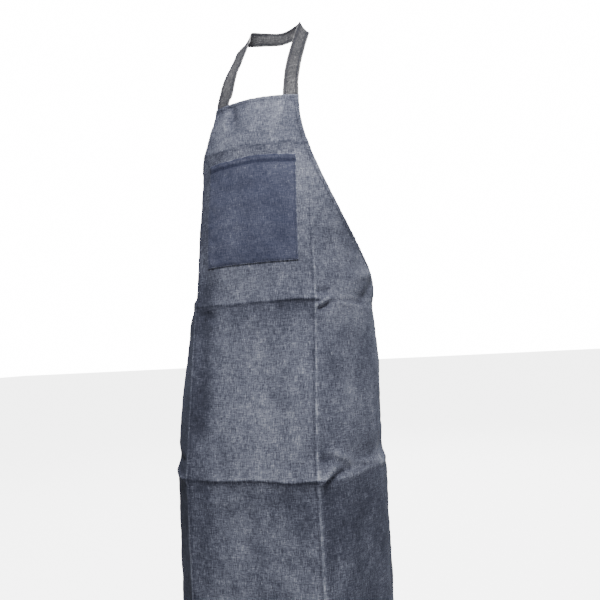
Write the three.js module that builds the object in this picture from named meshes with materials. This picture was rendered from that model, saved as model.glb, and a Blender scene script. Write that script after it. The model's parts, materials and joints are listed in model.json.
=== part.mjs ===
// A full-length bib apron of light denim, hanging as it does on a standing wearer.
// It is one shaped panel with turned hems, a patch pocket, a neck strap sewn behind
// the bib, and two waist ties that meet in a bow at the back.
//
// Frame: millimetres, +Z up, the front of the apron faces -Y, +X is the wearer's left.
// The origin is where the neck strap rests on the nape.
// The panel is described on its flat pattern: `side` is the distance across from the
// centre line and `drop` is the distance down from the bib's top edge.
import * as THREE from "three";

// ---- Driving dimensions ---------------------------------------------------------
// The flat panel
const panelWidth = 710;
const panelLength = 1016;
const bibWidth = 188;
const waistDrop = 337; // bib top to the corner where a waist tie is sewn
const armholeHollow = 1.62; // 2 is a quarter ellipse, less is a flatter armhole
const hemWidth = 12;
const clothThickness = 1.1;
const hemThickness = 2.6; // cloth folded over twice
// The pocket
const pocketWidth = 182;
const pocketHeight = 206;
const pocketDrop = 136; // bib top to the pocket's mouth
const pocketHem = 16;
const pocketGape = 16; // how far the middle of the mouth stands off the bib
// Straps and ties
const strapWidth = 32;
const strapThickness = 2.4;
const strapInset = 1; // from the bib's corner to the strap's edge
const strapSewnLength = 38; // the stretch sewn behind the bib
const tieWidth = 25;
const tieThickness = 1.8;
const tieSewnLength = 26;
const tieSetback = 40; // from the panel's rear corners back to where the ties cross
const tailLength = 270;
const tailSplay = 5; // degrees outward
const bowLoopReach = 96;
const knotSize = { across: 26, deep: 20, high: 30 };
// The wearer: where the apron hangs
const bibReach = 223; // nape to the front of the bib's top edge
const bibFall = 250; // nape down to the bib's top edge
const neckHalfWidth = 69;
// Folds pressed into the stored apron
const foldSide = 118.5; // centre line to each upright crease
const foldDrops = [109, 414, 719];
// Sewing
const stitchInset = 9; // edge to stitch line on a hem
const seamInset = 3; // edge to stitch line on the pocket
const pocketTackLength = 8.5;
const cornerGap = 2; // between the ends of two stitch lines that meet
// The box of stitches on a strap: sides from the strap's middle, drops from the bib's edge
const strapTack = { inner: 10, outer: 4, top: 14, bottom: 32 };
const tieTack = { inner: 4, outer: 13, halfHeight: 8 }; // from the tie's end and the panel's edge
const threadWidth = 0.8;
const threadHeight = 0.7;
// Clearances
const layGap = 0.4; // between two layers of cloth
const threadGap = 0.5; // between a thread and its cloth
const swingGap = 0.8; // between the two sides of a joint
const seamRise = 8; // bib's top edge up to the line that the apron swings about
const pinchedEdge = 0.6; // cloth thickness at that line

// The body that the panel is wrapped round, level by level down the panel.
// reach: how far the centre line stands forward of the bib's top edge.
// bend: curvature of the front between the upright creases, per millimetre.
// crease: turn at each upright crease, in radians.
// tuck: further turn on the wearer's right, where the cloth is drawn in under the arm.
const bodyLevels = [
  { drop: 0, reach: 0, bend: 0.00505, crease: 0, tuck: 0 },
  { drop: 125, reach: 36, bend: 0.00462, crease: 0.04, tuck: 0.5 },
  { drop: 320, reach: 55, bend: 0.0033, crease: 0.38, tuck: 0.42 },
  { drop: 372, reach: 56.5, bend: 0.0026, crease: 0.42, tuck: 0.42 },
  { drop: 450, reach: 62, bend: 0.0015, crease: 0.56, tuck: 0.04 },
  { drop: 719, reach: 98, bend: 0.00044, crease: 0.63, tuck: 0 },
  { drop: 1016, reach: 98, bend: 0.00044, crease: 0.63, tuck: 0 },
];
const flankBend = 0.00449; // curvature beyond the creases
const flankTurn = THREE.MathUtils.degToRad(99.5); // where the cloth stops turning and runs straight back

// ---- Materials ------------------------------------------------------------------
const denim = new THREE.MeshStandardMaterial({ color: 0x5d6478, roughness: 0.95, metalness: 0 });
const darkDenim = new THREE.MeshStandardMaterial({ color: 0x4a5068, roughness: 0.95, metalness: 0 });
const tape = new THREE.MeshStandardMaterial({ color: 0x5a5f6e, roughness: 0.95, metalness: 0 });
const navyThread = new THREE.MeshStandardMaterial({ color: 0x232a40, roughness: 0.7, metalness: 0 });

// ---- Small geometry helpers -----------------------------------------------------
const lerp = THREE.MathUtils.lerp;
const vec = (x, y, z) => new THREE.Vector3(x, y, z);
const lerpPoints = (a, b, share) => a.clone().lerp(b, share);
const range = (count, make) => Array.from({ length: count }, (_, i) => make(i));

// The slope of the body's levels at level i: flat where the levels stop rising or falling.
function levelSlope(key, i) {
  const rise = (a, b) => {
    const [high, low] = [bodyLevels[a], bodyLevels[b]];
    return (low[key] - high[key]) / (low.drop - high.drop);
  };
  if (i === 0) return rise(0, 1);
  if (i === bodyLevels.length - 1) return rise(i - 1, i);
  const above = rise(i - 1, i);
  const below = rise(i, i + 1);
  return above * below > 0 ? (2 * above * below) / (above + below) : 0;
}

// A value read off the body's levels at one drop, eased from level to level.
function bodyAt(drop, key) {
  const next = bodyLevels.findIndex((level) => level.drop > drop);
  const segment = next < 0 ? bodyLevels.length - 2 : Math.max(next - 1, 0);
  const low = bodyLevels[segment];
  const high = bodyLevels[segment + 1];
  const step = high.drop - low.drop;
  const u = THREE.MathUtils.clamp((drop - low.drop) / step, 0, 1);
  return (
    low[key] * (2 * u ** 3 - 3 * u ** 2 + 1) +
    levelSlope(key, segment) * step * (u ** 3 - 2 * u ** 2 + u) +
    high[key] * (3 * u ** 2 - 2 * u ** 3) +
    levelSlope(key, segment + 1) * step * (u ** 3 - u ** 2)
  );
}

// A closed solid between two grids of points. Rows run down and columns run to the
// right as the front is seen, and the front faces row direction x column direction.
function sheetSolid(front, back) {
  const rows = front.length;
  const cols = front[0].length;
  const positions = [...front.flat(), ...back.flat()].flatMap((p) => [p.x, p.y, p.z]);
  const f = (r, c) => r * cols + c;
  const b = (r, c) => rows * cols + r * cols + c;
  const index = [];
  for (let r = 0; r + 1 < rows; r++)
    for (let c = 0; c + 1 < cols; c++) {
      index.push(f(r, c), f(r + 1, c), f(r + 1, c + 1), f(r, c), f(r + 1, c + 1), f(r, c + 1));
      index.push(b(r, c), b(r + 1, c + 1), b(r + 1, c), b(r, c), b(r, c + 1), b(r + 1, c + 1));
    }
  const rim = [
    ...range(rows - 1, (r) => [r, 0]),
    ...range(cols - 1, (c) => [rows - 1, c]),
    ...range(rows - 1, (r) => [rows - 1 - r, cols - 1]),
    ...range(cols - 1, (c) => [0, cols - 1 - c]),
  ];
  rim.forEach((p, i) => {
    const q = rim[(i + 1) % rim.length];
    index.push(f(...q), f(...p), b(...p), f(...q), b(...p), b(...q));
  });
  const geometry = new THREE.BufferGeometry();
  geometry.setAttribute("position", new THREE.Float32BufferAttribute(positions, 3));
  geometry.setIndex(index);
  geometry.computeVertexNormals();
  return geometry;
}

// A flat band: stations are { at, across, thickness, width }, with `across` a unit vector.
function bandSolid(stations) {
  const edges = stations.map((station, i) => {
    const before = stations[Math.max(i - 1, 0)].at;
    const after = stations[Math.min(i + 1, stations.length - 1)].at;
    const along = after.clone().sub(before).normalize();
    const outward = along.cross(station.across).normalize().multiplyScalar(station.thickness / 2);
    const half = station.across.clone().multiplyScalar(station.width / 2);
    return [-1, 1].map((hand) => ({
      front: station.at.clone().addScaledVector(half, hand).add(outward),
      back: station.at.clone().addScaledVector(half, hand).sub(outward),
    }));
  });
  return sheetSolid(
    edges.map((pair) => pair.map((edge) => edge.front)),
    edges.map((pair) => pair.map((edge) => edge.back)),
  );
}

const mirrored = (p, hand) => vec(hand * p.x, p.y, p.z);

// ---- The panel's outline on the flat pattern -------------------------------------
const halfPanel = panelWidth / 2;
const halfBib = bibWidth / 2;

function halfWidth(drop) {
  if (drop >= waistDrop) return halfPanel;
  return halfPanel - (halfPanel - halfBib) * Math.sqrt(1 - (drop / waistDrop) ** armholeHollow);
}

// The armhole moved inward by `inset`, as [side, drop] points from the bib down.
function armholeInset(inset) {
  const points = [];
  const count = 240;
  for (let i = 0; i <= count; i++) {
    const turn = (i / count) * (Math.PI / 2);
    const drop = waistDrop * Math.sin(turn) ** (2 / armholeHollow);
    const step = 0.01;
    const rise = halfWidth(drop + step) - halfWidth(Math.max(drop - step, 0));
    const slope = i === count ? 1e6 : rise / (2 * step);
    const length = Math.hypot(1, slope);
    points.push([halfWidth(drop) - inset / length, drop + (inset * slope) / length]);
  }
  return points;
}

// Half the width left at one drop when every side edge is moved inward by `inset`.
function insetHalfWidth(drop, inset) {
  const points = insetCurves[inset];
  const limit = halfPanel - inset;
  if (drop <= points[0][1]) return points[0][0];
  const i = points.findIndex((point) => point[1] > drop);
  if (i < 0) return limit;
  const share = (drop - points[i - 1][1]) / (points[i][1] - points[i - 1][1]);
  return Math.min(lerp(points[i - 1][0], points[i][0], share), limit);
}
const hemStep = 1.5; // the hem's thickness fades out over this much
const insetCurves = {};
for (const inset of [stitchInset, hemWidth, hemWidth + hemStep]) insetCurves[inset] = armholeInset(inset);

// ---- The panel in space, with the bib's top centre at the local origin --------------
function onBody(side, drop) {
  const hand = Math.sign(side) || 1;
  const across = Math.abs(side);
  const bend = bodyAt(drop, "bend");
  const front = Math.min(across, foldSide);
  const turn = bend * front;
  let x = Math.sin(turn) / bend;
  let y = (1 - Math.cos(turn)) / bend;
  let heading = turn;
  if (across > foldSide) {
    const start = turn + bodyAt(drop, "crease") + (hand < 0 ? bodyAt(drop, "tuck") : 0);
    const beyond = across - foldSide;
    const curved = Math.min(beyond, Math.max(flankTurn - start, 0) / flankBend);
    heading = start + flankBend * curved;
    x += (Math.sin(heading) - Math.sin(start)) / flankBend + (beyond - curved) * Math.cos(heading);
    y += (Math.cos(start) - Math.cos(heading)) / flankBend + (beyond - curved) * Math.sin(heading);
  }
  return {
    at: vec(hand * x, y - bodyAt(drop, "reach"), -drop),
    outward: vec(hand * Math.sin(heading), -Math.cos(heading), 0),
  };
}

const behindBody = (side, drop, depth) => {
  const { at, outward } = onBody(side, drop);
  return at.addScaledVector(outward, -depth);
};

// Levels of the panel's rows. Every edge of a hem or the pocket has a row of its own.
const pocketBottom = pocketDrop + pocketHeight;
const belowTie = waistDrop + tieWidth + 6;
const sewnRows = [
  0, hemWidth, pocketDrop, pocketDrop + pocketHem, pocketBottom,
  waistDrop, waistDrop + hemWidth, belowTie, ...foldDrops, panelLength - hemWidth, panelLength,
];
const lastArmholeRow = 0.985;
const armholeRows = [0.12, 0.24, 0.52, 0.61, 0.69, 0.77, 0.84, 0.9, 0.95];
const shapingRows = [
  ...armholeRows.map((share) => share * waistDrop),
  ...range(9, (i) => lerp(waistDrop, panelLength, (i + 1) / 10)),
];
const rowSpacing = 8;
const rowDrops = [
  ...sewnRows,
  ...shapingRows.filter((drop) => sewnRows.every((sewn) => Math.abs(sewn - drop) > rowSpacing)),
  waistDrop * lastArmholeRow,
]
  .sort((a, b) => a - b)
  .filter((drop, i, all) => i === 0 || drop - all[i - 1] > 0.5);

// Columns of one row, from the centre out: pocket, crease, flank, hem, edge.
const pocketColumns = 3;
const flankColumns = 7;
function halfColumns(drop) {
  const edge = halfWidth(drop);
  const hem = insetHalfWidth(drop, hemWidth);
  const hemInner = insetHalfWidth(drop, hemWidth + hemStep);
  const pocketEdge = Math.min(pocketWidth / 2, hemInner - 2 * hemStep);
  const crease = Math.min(foldSide, hemInner - hemStep);
  return [
    ...range(pocketColumns, (i) => ((i + 1) / pocketColumns) * pocketEdge),
    crease,
    ...range(flankColumns, (i) => lerp(crease, hemInner, (i + 1) / flankColumns)),
    hem,
    edge,
  ];
}
function columnsAt(drop) {
  const half = halfColumns(drop);
  return [...half.map((side) => -side).reverse(), 0, ...half];
}
const rowColumns = rowDrops.map(columnsAt);

// A point on the panel's flat facets, so that what lies on the panel follows them.
function onFacets(side, drop) {
  const last = rowDrops.length - 2;
  const found = rowDrops.findIndex((level) => level > drop) - 1;
  const r = found < 0 ? last : Math.min(found, last);
  const f = (drop - rowDrops[r]) / (rowDrops[r + 1] - rowDrops[r]);
  const upper = rowColumns[r];
  const lower = rowColumns[r + 1];
  const level = upper.map((_, c) => lerp(upper[c], lower[c], f));
  const foundColumn = level.findIndex((s) => s > side) - 1;
  const c = foundColumn < 0 ? (side < 0 ? 0 : level.length - 2) : foundColumn;
  const corner = (i, j) => onBody(rowColumns[r + i][c + j], rowDrops[r + i]).at;
  const [a, b, d, e] = [corner(0, 0), corner(1, 0), corner(1, 1), corner(0, 1)];
  const below = (side - level[c]) / (lower[c + 1] - lower[c]);
  if (below <= f) return lerpPoints(a, b, f).addScaledVector(d.clone().sub(b), below);
  const above = (side - upper[c] - f * (lower[c + 1] - upper[c + 1])) / (upper[c + 1] - upper[c]);
  return lerpPoints(a, e, above).addScaledVector(d.clone().sub(e), f);
}

const behindFacets = (side, drop, depth) =>
  onFacets(side, drop).addScaledVector(onBody(side, drop).outward, -depth);

// ---- Panel and pocket ---------------------------------------------------------------
function panelGeometry() {
  const front = rowDrops.map((drop, r) => rowColumns[r].map((side) => onBody(side, drop).at));
  const back = rowDrops.map((drop, r) => {
    const lastColumn = rowColumns[r].length - 1;
    const inTopHem = drop <= hemWidth || drop >= panelLength - hemWidth;
    return rowColumns[r].map((side, c) => {
      const inSideHem = c <= 1 || c >= lastColumn - 1;
      return behindBody(side, drop, inTopHem || inSideHem ? hemThickness : clothThickness);
    });
  });
  return sheetSolid(front, back);
}

// How far the pocket's cloth stands off the bib.
function pocketLift(side, drop) {
  const across = 1 - (side / (pocketWidth / 2)) ** 2;
  const upward = 1 - ((drop - pocketDrop) / pocketHeight) ** 3;
  return layGap + pocketGape * Math.max(across, 0) * Math.max(upward, 0);
}

const pocketRows = rowDrops.filter((drop) => drop >= pocketDrop - 0.01 && drop <= pocketBottom + 0.01);
function pocketFront(side, drop, extra = 0) {
  const { outward } = onBody(side, drop);
  const thickness = drop <= pocketDrop + pocketHem ? hemThickness : clothThickness;
  return onFacets(side, drop).addScaledVector(outward, pocketLift(side, drop) + thickness + extra);
}
const pocketSides = range(2 * pocketColumns + 1, (i) => (i / pocketColumns - 1) * (pocketWidth / 2));
function pocketGeometry() {
  const front = pocketRows.map((drop) => pocketSides.map((side) => pocketFront(side, drop)));
  const back = pocketRows.map((drop) =>
    pocketSides.map((side) => behindFacets(side, drop, -pocketLift(side, drop))),
  );
  return sheetSolid(front, back);
}

const threadStart = 1.5; // a stitch line's first point to the cloth's edge

// A raised line of stitching through [side, drop] points laid on a surface.
function threadGeometry(path, surface) {
  const lift = threadGap + threadHeight / 2;
  const stations = path.map(([side, drop], i) => {
    const before = path[Math.max(i - 1, 0)];
    const after = path[Math.min(i + 1, path.length - 1)];
    const { outward } = onBody(side, drop);
    const into = direction(before, [side, drop]) ?? direction([side, drop], after);
    const out = direction([side, drop], after) ?? into;
    const turn = Math.hypot(into[0] + out[0], into[1] + out[1]) / 2;
    const along = surface(...after).sub(surface(...before)).normalize();
    return {
      at: surface(side, drop).addScaledVector(outward, lift),
      across: outward.clone().cross(along).normalize(),
      width: threadWidth / Math.max(turn, 0.5),
      thickness: threadHeight,
    };
  });
  return bandSolid(stations);
}
function direction(from, to) {
  const length = Math.hypot(to[0] - from[0], to[1] - from[1]);
  return length > 1e-6 ? [(to[0] - from[0]) / length, (to[1] - from[1]) / length] : null;
}

// Corner points of a path, with a point added at each row and column line it crosses.
function levelPath(drop, fromSide, toSide, columns) {
  return steppedBetween(fromSide, toSide, columns).map((side) => [side, drop]);
}
function uprightPath(side, fromDrop, toDrop) {
  return steppedBetween(fromDrop, toDrop, rowDrops).map((drop) => [side, drop]);
}
function steppedBetween(from, to, lines) {
  const leastStep = 1;
  const low = Math.min(from, to) + leastStep;
  const high = Math.max(from, to) - leastStep;
  const inner = lines.filter((line) => line > low && line < high);
  return [from, ...(from < to ? inner : inner.reverse()), to];
}
function facetColumns(drop) {
  const r = Math.max(rowDrops.findIndex((level) => level > drop) - 1, 0);
  const f = (drop - rowDrops[r]) / (rowDrops[r + 1] - rowDrops[r]);
  return rowColumns[r].map((side, c) => lerp(side, rowColumns[r + 1][c], f));
}

function hemThread(drop) {
  const side = facetColumns(drop).at(-1) - stitchInset;
  return threadGeometry(levelPath(drop, -side, side, facetColumns(drop)), onFacets);
}
function armholeThread(hand) {
  const top = stitchInset + cornerGap;
  const every = 3; // inset points per stitch-line point
  const last = halfPanel - tieSewnLength; // the tie's own stitching takes over here
  const curve = insetCurves[stitchInset]
    .filter((_, i) => i % every === 0)
    .filter(([side, drop]) => drop > top && side < last);
  return threadGeometry(curve.map(([side, drop]) => [hand * side, drop]), onFacets);
}
function sideThread(hand) {
  const side = hand * (halfPanel - stitchInset);
  const top = waistDrop + stitchInset + cornerGap;
  const bottom = panelLength - stitchInset - cornerGap;
  return threadGeometry(uprightPath(side, top, bottom), onFacets);
}
function pocketMouthThread() {
  const drop = pocketDrop + pocketHem - seamInset;
  const side = pocketWidth / 2 - 2 * seamInset;
  return threadGeometry(levelPath(drop, -side, side, pocketSides), pocketFront);
}
function pocketSeamThread() {
  const side = pocketWidth / 2 - seamInset;
  const top = pocketDrop + threadStart + pocketTackLength + cornerGap;
  const bottom = pocketBottom - seamInset;
  const rows = (from, to) => uprightPath(side, from, to).map(([, drop]) => drop);
  return threadGeometry(
    [
      ...rows(top, bottom).map((drop) => [-side, drop]),
      ...levelPath(bottom, -side, side, pocketSides).slice(1, -1),
      ...rows(bottom, top).map((drop) => [side, drop]),
    ],
    pocketFront,
  );
}
// A short bar that locks the pocket's corner.
function pocketTack(hand) {
  const side = hand * (pocketWidth / 2 - seamInset);
  const top = pocketDrop + threadStart;
  return threadGeometry([[side, top], [side, top + pocketTackLength]], pocketFront);
}
// A box of stitching, left open by a hair at the corner where it ends.
function boxThread(innerSide, outerSide, top, bottom) {
  const lastSide = innerSide + Math.sign(outerSide - innerSide) * 3 * threadWidth;
  const midRows = uprightPath(innerSide, top, bottom).map(([, drop]) => drop);
  return threadGeometry(
    [
      ...midRows.map((drop) => [innerSide, drop]),
      ...levelPath(bottom, innerSide, outerSide, facetColumns(bottom)).slice(1, -1),
      ...[...midRows].reverse().map((drop) => [outerSide, drop]),
      ...levelPath(top, outerSide, lastSide, facetColumns(top)).slice(1),
    ],
    onFacets,
  );
}

// ---- Neck strap ---------------------------------------------------------------------
const strapSide = halfBib - strapInset - strapWidth / 2;
const strapDepth = hemThickness + layGap + strapThickness / 2; // middle of the strap behind the bib's face
const seamPoint = behindFacets(strapSide, 0, strapDepth).setZ(seamRise); // on the wearer's left
const apronPlace = vec(0, -bibReach, -bibFall);

// One side of the strap behind the bib. Its top edge is straight along X, on the swing line.
function strapEndGeometry(hand) {
  const count = 4;
  const sides = range(3, (i) => strapSide + (i - 1) * (strapWidth / 2));
  const drops = range(count + 1, (i) => lerp(0, strapSewnLength, i / count));
  const sewnRow = (drop, depth) => sides.map((side) => behindFacets(hand * side, drop, depth));
  const sewnRowsAt = (depth) => drops.map((drop) => sewnRow(drop, depth));
  const topEdge = (offset) =>
    sides.map((side) => {
      const across = seamPoint.x + side - strapSide;
      return vec(hand * across, seamPoint.y + offset, seamRise - swingGap / 2);
    });
  const front = [topEdge(-pinchedEdge / 2), ...sewnRowsAt(strapDepth - strapThickness / 2)];
  const back = [topEdge(pinchedEdge / 2), ...sewnRowsAt(strapDepth + strapThickness / 2)];
  if (hand < 0) [...front, ...back].forEach((row) => row.reverse());
  return sheetSolid(front, back);
}

// The free loop: up the chest, over the shoulder beside the neck, and round the nape.
const seamInWorld = seamPoint.clone().add(apronPlace);
const strapHalfRoute = [
  { at: seamInWorld.clone().setZ(seamInWorld.z + swingGap / 2), across: vec(1, 0, 0) },
  { at: seamInWorld.clone().add(vec(-2, 11, 24)), across: vec(1, 0.05, -0.02) },
  { at: vec(neckHalfWidth + 2, -165, -166), across: vec(1, 0.15, -0.1) },
  { at: vec(neckHalfWidth + 1, -116, -98), across: vec(1, 0.1, -0.3) },
  { at: vec(neckHalfWidth + 1, -76, -45), across: vec(0.9, 0, -0.6) },
  { at: vec(neckHalfWidth - 3, -44, -12), across: vec(0.55, 0.1, -0.9) },
  { at: vec(neckHalfWidth - 25, -16, 0), across: vec(0.15, 0.1, -1) },
];
const napeStation = { at: vec(0, -strapThickness / 2, 0), across: vec(0, 0, -1) };
function neckStrapGeometry() {
  const onRight = ({ at, across }) => ({ at: mirrored(at, -1), across: mirrored(across, -1) });
  const route = [...strapHalfRoute, napeStation, ...strapHalfRoute.map(onRight).reverse()];
  const directions = route.map(({ across }) => across.clone().normalize());
  const centre = new THREE.CatmullRomCurve3(route.map(({ at }) => at), false, "centripetal");
  const facing = new THREE.CatmullRomCurve3(directions, false, "centripetal");
  const steps = 4 * (route.length - 1);
  const stations = range(steps + 1, (i) => ({
    at: centre.getPoint(i / steps),
    across: facing.getPoint(i / steps).normalize(),
    width: strapWidth,
    thickness: i === 0 || i === steps ? pinchedEdge : strapThickness,
  }));
  stations[0].across.set(1, 0, 0);
  stations[steps].across.set(-1, 0, 0);
  return bandSolid(stations);
}

// ---- Waist ties, bow and tails -------------------------------------------------------
const tieDrop = waistDrop + 2 + tieWidth / 2;
const tieDepth = hemThickness + 2 * layGap + tieThickness / 2; // the hem twists a little over the tie's width
const rearCorners = [1, -1].map((hand) => behindBody(hand * halfPanel, tieDrop, 0).y);
const backY = Math.max(...rearCorners) + tieSetback; // the back of the waist, in the apron's frame
const knotAt = vec(0, backY + knotSize.deep / 2, -tieDrop);

function waistTieGeometry(hand) {
  // The sewn stretch lies flat against the inside of the panel.
  const sewn = [1, 0.5, 0].map((share) => {
    const side = hand * (halfPanel - tieSewnLength * share);
    const upper = behindFacets(side, tieDrop - tieWidth / 2, tieDepth);
    const lower = behindFacets(side, tieDrop + tieWidth / 2, tieDepth);
    return { at: lerpPoints(upper, lower, 0.5), across: lower.sub(upper).normalize() };
  });
  const corner = sewn[2].at;
  const knotSide = vec(hand * (knotSize.across / 2 + layGap), knotAt.y - knotSize.deep / 4, -tieDrop);
  const free = [
    vec(corner.x - hand * 10, corner.y + 24, -tieDrop),
    vec(corner.x * 0.76, backY - 7, -tieDrop),
    vec(corner.x * 0.42, knotSide.y - 2, -tieDrop),
    knotSide,
  ].map((at) => ({ at, across: vec(0, 0, -1) }));
  const route = [sewn[2], ...free];
  const centre = new THREE.CatmullRomCurve3(route.map(({ at }) => at));
  const facing = new THREE.CatmullRomCurve3(route.map(({ across }) => across));
  const steps = 5 * free.length;
  const loose = range(steps, (i) => ({
    at: centre.getPoint((i + 1) / steps),
    across: facing.getPoint((i + 1) / steps).normalize(),
  }));
  const stations = [...sewn, ...loose].map(({ at, across }, i, all) => ({
    at,
    across,
    width: i === all.length - 1 ? tieWidth * 0.7 : tieWidth,
    thickness: tieThickness,
  }));
  return bandSolid(stations);
}

// The knot: a rounded bundle of tape.
function knotGeometry() {
  const radius = 5;
  const outline = new THREE.Shape();
  const halfAcross = knotSize.across / 2;
  const halfHigh = knotSize.high / 2;
  outline.moveTo(-halfAcross + radius, -halfHigh);
  outline.lineTo(halfAcross - radius, -halfHigh);
  outline.absarc(halfAcross - radius, -halfHigh + radius, radius, -Math.PI / 2, 0, false);
  outline.absarc(halfAcross - radius, halfHigh - radius, radius, 0, Math.PI / 2, false);
  outline.absarc(-halfAcross + radius, halfHigh - radius, radius, Math.PI / 2, Math.PI, false);
  outline.absarc(-halfAcross + radius, -halfHigh + radius, radius, Math.PI, 1.5 * Math.PI, false);
  const options = { depth: knotSize.deep, bevelEnabled: false, curveSegments: 3 };
  const geometry = new THREE.ExtrudeGeometry(outline, options);
  geometry.translate(0, 0, -knotSize.deep / 2);
  geometry.rotateX(Math.PI / 2);
  return geometry;
}

// A loop of tape that leaves the knot, turns at its far end and comes back behind itself.
function bowLoopGeometry(hand) {
  const start = knotSize.across / 2 + layGap;
  const near = knotSize.deep / 8;
  const route = [
    vec(start, knotAt.y + near, -tieDrop - 1),
    vec(bowLoopReach * 0.5, knotAt.y + 4, -tieDrop - 4),
    vec(bowLoopReach * 0.85, knotAt.y + 6, -tieDrop - 12),
    vec(bowLoopReach, knotAt.y + 13, -tieDrop - 16),
    vec(bowLoopReach * 0.85, knotAt.y + 20, -tieDrop - 14),
    vec(bowLoopReach * 0.5, knotAt.y + 17, -tieDrop - 7),
    vec(start, knotAt.y + near + 5, -tieDrop - 1),
  ];
  const centre = new THREE.CatmullRomCurve3(route, false, "centripetal");
  const steps = 20;
  const stations = range(steps + 1, (i) => ({
    at: mirrored(centre.getPoint(i / steps), hand),
    across: vec(0, 0, -1),
    width: i === 0 || i === steps ? tieWidth * 0.6 : tieWidth,
    thickness: tieThickness,
  }));
  return bandSolid(stations);
}

// A free end, in the frame of its own pivot just under the knot.
const tailSide = knotSize.across / 4;
const tailLayer = 4; // one tail leaves the knot in front of the other, so that they pass each other
const tailPivot = (hand) =>
  vec(hand * tailSide, knotAt.y + hand * tailLayer, knotAt.z - knotSize.high / 2 - swingGap);
function tailGeometry(hand) {
  const pinchedWidth = 2;
  const openAfter = 26; // the tape is gathered as far as this below the knot
  const steps = 12;
  const splay = THREE.MathUtils.degToRad(tailSplay);
  const stations = range(steps + 1, (i) => {
    const along = i < 2 ? (i * openAfter) / 2 : lerp(openAfter, tailLength, (i - 1) / (steps - 1));
    const sway = 4 * Math.sin((along / tailLength) * Math.PI * 1.5);
    return {
      at: vec(hand * (along * Math.sin(splay)), sway, -along * Math.cos(splay)),
      across: vec(1, 0, 0),
      width: lerp(pinchedWidth, tieWidth, Math.min(along / openAfter, 1)),
      thickness: i === 0 ? pinchedEdge : tieThickness,
    };
  });
  return bandSolid(stations);
}

// ---- Assembly ---------------------------------------------------------------------
const apronOnHook = new THREE.Group();
function add(parent, name, geometry, material) {
  const mesh = new THREE.Mesh(geometry, material);
  mesh.name = name;
  parent.add(mesh);
}

add(apronOnHook, "neck_strap", neckStrapGeometry(), tape);

const apron = new THREE.Group();
apron.position.copy(apronPlace);
apronOnHook.add(apron);
add(apron, "body_panel", panelGeometry(), denim);
add(apron, "pocket", pocketGeometry(), darkDenim);
add(apron, "bow_knot", knotGeometry(), tape);
apron.getObjectByName("bow_knot").position.copy(knotAt);
add(apron, "bib_hem_stitching", hemThread(stitchInset), navyThread);
add(apron, "bottom_hem_stitching", hemThread(panelLength - stitchInset), navyThread);
add(apron, "pocket_mouth_stitching", pocketMouthThread(), navyThread);
add(apron, "pocket_seam_stitching", pocketSeamThread(), navyThread);

for (const [hand, side] of [[1, "left"], [-1, "right"]]) {
  add(apron, `strap_end_${side}`, strapEndGeometry(hand), tape);
  add(apron, `waist_tie_${side}`, waistTieGeometry(hand), tape);
  add(apron, `bow_loop_${side}`, bowLoopGeometry(hand), tape);
  add(apron, `armhole_stitching_${side}`, armholeThread(hand), navyThread);
  add(apron, `side_hem_stitching_${side}`, sideThread(hand), navyThread);
  add(apron, `pocket_tack_${side}`, pocketTack(hand), navyThread);
  add(
    apron,
    `strap_tack_${side}`,
    boxThread(
      hand * (strapSide - strapTack.inner),
      hand * (strapSide + strapTack.outer),
      strapTack.top,
      strapTack.bottom,
    ),
    navyThread,
  );
  add(
    apron,
    `tie_tack_${side}`,
    boxThread(
      hand * (halfPanel - tieSewnLength + tieTack.inner),
      hand * (halfPanel - tieTack.outer),
      tieDrop - tieTack.halfHeight,
      tieDrop + tieTack.halfHeight,
    ),
    navyThread,
  );
  const tail = new THREE.Group();
  tail.position.copy(tailPivot(hand));
  apron.add(tail);
  add(tail, `tie_tail_${side}`, tailGeometry(hand), tape);
}

export default apronOnHook;
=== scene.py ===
"""A full-length bib apron of light denim, as it hangs on a standing wearer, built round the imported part.

Metres, +Z up, the front faces -Y, +X is the wearer's left. The origin is where the neck strap rests
on the nape. The panel is described on its flat pattern: `side` is the distance across from the centre
line, and `drop` is the distance down from the bib's top edge.
"""
import json
import math

import bpy
import numpy as np
from mathutils import Matrix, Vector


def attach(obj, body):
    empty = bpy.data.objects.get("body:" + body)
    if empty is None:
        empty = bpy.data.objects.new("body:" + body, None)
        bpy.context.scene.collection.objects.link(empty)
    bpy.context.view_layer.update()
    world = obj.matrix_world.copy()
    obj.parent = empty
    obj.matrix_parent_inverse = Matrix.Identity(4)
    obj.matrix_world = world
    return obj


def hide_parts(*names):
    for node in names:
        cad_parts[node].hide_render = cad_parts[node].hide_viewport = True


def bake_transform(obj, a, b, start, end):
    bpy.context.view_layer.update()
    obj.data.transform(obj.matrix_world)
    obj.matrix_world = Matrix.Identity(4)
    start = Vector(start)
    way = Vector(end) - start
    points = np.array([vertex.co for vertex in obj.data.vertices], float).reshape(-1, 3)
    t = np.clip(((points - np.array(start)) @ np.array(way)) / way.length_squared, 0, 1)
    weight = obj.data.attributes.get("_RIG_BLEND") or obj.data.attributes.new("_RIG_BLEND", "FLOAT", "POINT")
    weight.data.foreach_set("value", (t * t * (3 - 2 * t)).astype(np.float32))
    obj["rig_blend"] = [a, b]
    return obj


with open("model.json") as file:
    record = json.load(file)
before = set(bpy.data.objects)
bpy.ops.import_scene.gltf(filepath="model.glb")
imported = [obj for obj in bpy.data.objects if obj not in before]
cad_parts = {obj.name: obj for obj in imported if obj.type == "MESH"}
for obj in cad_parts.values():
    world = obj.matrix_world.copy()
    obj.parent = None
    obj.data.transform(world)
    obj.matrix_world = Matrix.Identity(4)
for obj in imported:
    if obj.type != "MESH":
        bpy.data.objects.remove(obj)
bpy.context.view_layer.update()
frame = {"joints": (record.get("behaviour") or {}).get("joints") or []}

# ---- Sizes -----------------------------------------------------------
MM = 0.001
PANEL_WIDTH, PANEL_LENGTH, BIB_WIDTH = 0.710, 1.016, 0.188
WAIST_DROP, ARMHOLE_HOLLOW = 0.337, 1.62
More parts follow.
